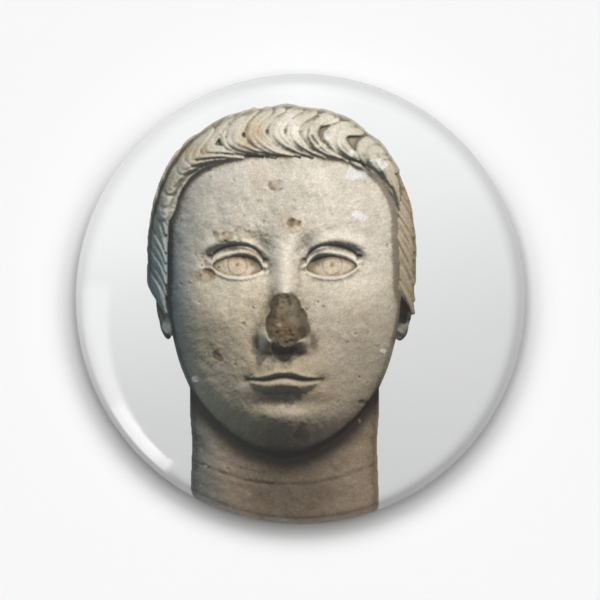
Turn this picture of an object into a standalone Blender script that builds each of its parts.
"""A round pin-back button badge, lying on its back with its printed face up.

The front is a shallow tinplate cup. A printed paper and a clear film are stretched over it and turned in
round its hem. A pressed back plate closes it, and a wire safety pin lies flat in the plate's recess.
The origin is on the surface it lies on, under the middle of the face. +Z is up and +Y is the picture's top.
"""

import math

import bmesh
import bpy
from mathutils import Vector

mm = 0.001

# Front: outer face of the film
badge_radius = 29.0 * mm
dome_radius = 120.0 * mm
edge_radius = 2.4 * mm
wall_height = 0.35 * mm

# Hem, which the badge lies on
hem_radius = 1.0 * mm
hem_flat = 0.6 * mm
lip_height = 0.4 * mm

# Sheet and film
film_thickness = 0.10 * mm
paper_thickness = 0.12 * mm
tin_thickness = 0.25 * mm
layer_gap = 0.02 * mm

# Back plate
plate_fit = 0.03 * mm
skirt_height = 1.6 * mm
flange_level = 0.4 * mm
flange_width = 3.0 * mm
step_run = 1.8 * mm
plate_bend = 0.5 * mm

# Safety pin
wire_diameter = 0.9 * mm
wire_gap = 0.08 * mm
coil_radius = 2.2 * mm
pin_end_clearance = 4.5 * mm
point_length = 4.0 * mm
point_share = 0.12
tail_length = 3.0 * mm
tail_bend = 1.2 * mm
tail_setback = 7.0 * mm

# Straps and catch, lanced out of the back plate
strap_width = 3.6 * mm
strap_play = 0.12 * mm
strap_bend = 0.25 * mm
strap_setback = 6.5 * mm
strap_tail_gap = 1.5 * mm
window_margin = 0.15 * mm
catch_width = 3.0 * mm
catch_lip = 0.6 * mm
catch_tip_reach = 2.4 * mm
catch_window = 1.6 * mm
floor_clearance = 0.25 * mm

# Facets
turns = 44
dome_steps = 5
edge_steps = 3
hem_steps = 2
bend_steps = 2
wire_steps = 15
wire_sides = 2

# Layers of the front, as depths under the film's outer face
paper_depth = film_thickness + layer_gap
shell_depth = paper_depth + paper_thickness + layer_gap
edge_centre = Vector((badge_radius - edge_radius, hem_radius + wall_height))
dome_tilt = math.asin(edge_centre.x / (dome_radius - edge_radius))
dome_centre_z = edge_centre.y - (dome_radius - edge_radius) * math.cos(dome_tilt)
hem_outer_centre = badge_radius - hem_radius
hem_inner_centre = hem_outer_centre - hem_flat

# Back plate and the heights in its recess
plate_radius = hem_inner_centre - hem_radius - plate_fit
flange_inner = plate_radius - flange_width
recess_radius = flange_inner - step_run
needle_z = floor_clearance + tin_thickness + strap_play + wire_diameter / 2
backbone_z = needle_z + wire_diameter + wire_gap
recess_level = backbone_z + wire_diameter / 2 + wire_gap

# Safety pin, as seen from above
coil_x = -(recess_radius - pin_end_clearance - coil_radius)
needle_tip_x = recess_radius - pin_end_clearance
needle_y = coil_radius
backbone_y = -coil_radius
tail_x = needle_tip_x - tail_setback
catch_x = needle_tip_x - catch_tip_reach - catch_width / 2
strap_xs = {
    "left": coil_x + strap_setback,
    "right": tail_x - strap_tail_gap - strap_width / 2,
}


def clear_scene():
    for obj in list(bpy.data.objects):
        bpy.data.objects.remove(obj, do_unlink=True)


def material(name, colour, roughness, metallic=0.0, coat=0.0):
    made = bpy.data.materials.new(name)
    made.use_nodes = True
    shader = made.node_tree.nodes["Principled BSDF"]
    shader.inputs["Base Color"].default_value = (*colour, 1.0)
    shader.inputs["Roughness"].default_value = roughness
    shader.inputs["Metallic"].default_value = metallic
    shader.inputs["Coat Weight"].default_value = coat
    return made


def arc(centre, radius, start, end, steps):
    """Points of an arc in the (across, up) plane. Angles run from +across towards +up."""
    return [
        Vector((
            centre[0] + radius * math.cos(start + (end - start) * i / steps),
            centre[1] + radius * math.sin(start + (end - start) * i / steps),
        ))
        for i in range(steps + 1)
    ]


def rounded(path, radius, steps):
    """The path with each inner corner turned into an arc of that radius."""
    points = [path[0]]
    for before, corner, after in zip(path, path[1:], path[2:]):
        to_before = (before - corner).normalized()
        to_after = (after - corner).normalized()
        half = to_before.angle(to_after) / 2
        centre = corner + (to_before + to_after).normalized() * (radius / math.sin(half))
        first = corner + to_before * (radius / math.tan(half)) - centre
        last = corner + to_after * (radius / math.tan(half)) - centre
        start = math.atan2(first.y, first.x)
        sweep = math.remainder(math.atan2(last.y, last.x) - start, 2 * math.pi)
        points += arc(centre, radius, start, start + sweep, steps)
    return points + [path[-1]]


def thickened(path, thickness):
    """The closed outline of a sheet whose one face is the path and whose other lies to the path's left."""
    offset = []
    for i, point in enumerate(path):
        sides = [
            (b - a).orthogonal().normalized()
            for a, b in zip(path[max(i - 1, 0):i + 1], path[max(i, 1) if i else 1:i + 2])
            if (b - a).length > 0
        ]
        mean = sum(sides, Vector((0, 0))).normalized()
        offset.append(point + mean * (thickness / mean.dot(sides[0])))
    return path + offset[::-1]


def node(name, mesh, finish):
    obj = bpy.data.objects.new(name, mesh)
    bpy.context.collection.objects.link(obj)
    mesh.materials.append(finish)
    return obj


def turned(name, outline, finish):
    """A solid turned about Z from a closed outline of (radius, height) points, which may touch the axis."""
    shape = bmesh.new()
    ring = [shape.verts.new((p.x, 0, p.y)) for p in outline]
    on_axis = outline[0].x < 1e-9 and outline[-1].x < 1e-9
    pairs = list(zip(ring, ring[1:])) + ([] if on_axis else [(ring[-1], ring[0])])
    edges = [shape.edges.new(pair) for pair in pairs]
    bmesh.ops.spin(
        shape, geom=ring + edges, cent=(0, 0, 0), axis=(0, 0, 1),
        angle=2 * math.pi, steps=turns, use_merge=True,
    )
    bmesh.ops.remove_doubles(shape, verts=shape.verts, dist=1e-6)
    bmesh.ops.recalc_face_normals(shape, faces=shape.faces)
    mesh = bpy.data.meshes.new(name)
    shape.to_mesh(mesh)
    shape.free()
    mesh.shade_smooth()
    mesh.set_sharp_from_angle(angle=math.radians(35))
    return node(name, mesh, finish)


def pressed(name, outline, x, width, finish):
    """A strip bent to a closed outline of (y, z) points, standing at x with its width along X."""
    shape = bmesh.new()
    start = x - width / 2
    face = shape.faces.new([shape.verts.new((start, p.x, p.y)) for p in outline])
    made = bmesh.ops.extrude_face_region(shape, geom=[face])
    moved = [v for v in made["geom"] if isinstance(v, bmesh.types.BMVert)]
    bmesh.ops.translate(shape, verts=moved, vec=(width, 0, 0))
    bmesh.ops.recalc_face_normals(shape, faces=shape.faces)
    mesh = bpy.data.meshes.new(name)
    shape.to_mesh(mesh)
    shape.free()
    return node(name, mesh, finish)


def use_on(target, tool, operation):
    """Joins or cuts target with tool, which is then left out of the model."""
    modifier = target.modifiers.new(f"{operation.lower()}_{tool.name}", "BOOLEAN")
    modifier.operation = operation
    modifier.object = tool
    tool.hide_render = True
    tool.display_type = "WIRE"


def skin_surface(depth):
    """The surface that lies depth under the film's outer face, from the crown round the hem to the lip."""
    dome = [
        Vector((
            (dome_radius - depth) * math.sin(dome_tilt * i / dome_steps),
            dome_centre_z + (dome_radius - depth) * math.cos(dome_tilt * i / dome_steps),
        ))
        for i in range(dome_steps)
    ]
    quarter = math.pi / 2
    edge = arc(edge_centre, edge_radius - depth, quarter - dome_tilt, 0, edge_steps)
    outer_hem = arc((hem_outer_centre, hem_radius), hem_radius - depth, 0, -quarter, hem_steps)
    inner_hem = arc((hem_inner_centre, hem_radius), hem_radius - depth, -quarter, -2 * quarter, hem_steps)
    lip = Vector((hem_inner_centre - hem_radius + depth, hem_radius + lip_height))
    return dome + edge + outer_hem + inner_hem + [lip]


def skin_layer(name, depth, thickness, finish):
    outline = skin_surface(depth) + skin_surface(depth + thickness)[::-1]
    return turned(name, outline, finish)


def strap_outline(y, low, half_width):
    """The outline of a strap that hangs from the plate round a wire at y."""
    root = recess_level + tin_thickness / 2
    path = [
        Vector((y - half_width, root)),
        Vector((y - half_width, low)),
        Vector((y + half_width, low)),
        Vector((y + half_width, root)),
    ]
    return thickened(rounded(path, strap_bend, bend_steps), -tin_thickness)


def catch_outline():
    """The outline of the hook that holds the needle. It is open on the side that the needle swings to."""
    half_width = wire_diameter / 2 + strap_play
    low = needle_z - half_width
    path = [
        Vector((needle_y - half_width, recess_level + tin_thickness / 2)),
        Vector((needle_y - half_width, low)),
        Vector((needle_y + half_width + catch_lip, low)),
    ]
    return thickened(rounded(path, strap_bend, bend_steps), -tin_thickness)


def window(name, x, width, y_low, y_high, finish):
    """A cutter through the recess of the plate, for the hole that a strap or the catch leaves."""
    low = recess_level - tin_thickness
    high = recess_level + 2 * tin_thickness
    near = y_low + window_margin
    far = y_high - window_margin
    corners = [Vector(c) for c in ((near, low), (far, low), (far, high), (near, high))]
    return pressed(name, corners, x, width - 2 * window_margin, finish)


def back_plate(finish):
    path = [
        Vector((0, recess_level)),
        Vector((recess_radius, recess_level)),
        Vector((flange_inner, flange_level)),
        Vector((plate_radius, flange_level)),
        Vector((plate_radius, flange_level + skirt_height)),
    ]
    plate = turned("back_plate", thickened(rounded(path, plate_bend, bend_steps), tin_thickness), finish)
    half_width = wire_diameter / 2 + strap_play
    strap_low = backbone_z - half_width
    for side, x in strap_xs.items():
        cut = window(f"window_{side}", x, strap_width, backbone_y - half_width, backbone_y + half_width, finish)
        use_on(plate, cut, "DIFFERENCE")
        strap = pressed(
            f"strap_{side}", strap_outline(backbone_y, strap_low, half_width), x, strap_width, finish
        )
        use_on(plate, strap, "UNION")
    far_edge = needle_y + half_width + catch_window
    cut = window("window_catch", catch_x, catch_width, needle_y - half_width, far_edge, finish)
    use_on(plate, cut, "DIFFERENCE")
    use_on(plate, pressed("catch", catch_outline(), catch_x, catch_width, finish), "UNION")
    return plate


def wire(name, points, shares, finish):
    """A round wire along the points. A share below 1 thins it there."""
    curve = bpy.data.curves.new(name, "CURVE")
    curve.dimensions = "3D"
    curve.bevel_depth = wire_diameter / 2
    curve.bevel_resolution = wire_sides
    curve.use_fill_caps = True
    spline = curve.splines.new("POLY")
    spline.points.add(len(points) - 1)
    for target, point, share in zip(spline.points, points, shares):
        target.co = (*point, 1)
        target.radius = share
    obj = bpy.data.objects.new(name, curve)
    bpy.context.collection.objects.link(obj)
    curve.materials.append(finish)
    return obj


def pin_needle(finish):
    """The moving leg: three quarters of a coil turn, then straight to its point."""
    coil = arc((0, 0), coil_radius, 2 * math.pi, math.pi / 2, wire_steps)
    reach = needle_tip_x - coil_x
    shaft = [Vector((reach - point_length, needle_y)), Vector((reach, needle_y))]
    points = [(p.x, p.y, 0) for p in coil + shaft]
    needle = wire("pin_needle", points, [1.0] * (len(points) - 1) + [point_share], finish)
    needle.location = (coil_x, 0, needle_z)
    return needle


def pin_backbone(finish):
    """The fixed leg: three quarters of a coil turn, then under both straps to a turned tail."""
    coil = arc((coil_x, 0), coil_radius, 0, 3 * math.pi / 2, wire_steps)
    bend = arc((tail_x, backbone_y - tail_bend), tail_bend, math.pi / 2, 0, 3 * bend_steps)
    tail = Vector((tail_x + tail_bend, backbone_y - tail_bend - tail_length))
    points = [(p.x, p.y, backbone_z) for p in coil + bend + [tail]]
    return wire("pin_backbone", points, [1.0] * len(points), finish)


def main():
    clear_scene()
    tin = material("tinplate", (0.62, 0.63, 0.65), 0.32, metallic=1.0)
    paper = material("printed_paper", (0.80, 0.79, 0.76), 0.6)
    film = material("clear_film", (0.90, 0.91, 0.92), 0.05, coat=1.0)
    steel = material("spring_steel", (0.58, 0.58, 0.60), 0.2, metallic=1.0)
    skin_layer("clear_film", 0, film_thickness, film)
    skin_layer("printed_paper", paper_depth, paper_thickness, paper)
    skin_layer("front_shell", shell_depth, tin_thickness, tin)
    back_plate(tin)
    pin_backbone(steel)
    pin_needle(steel)


main()
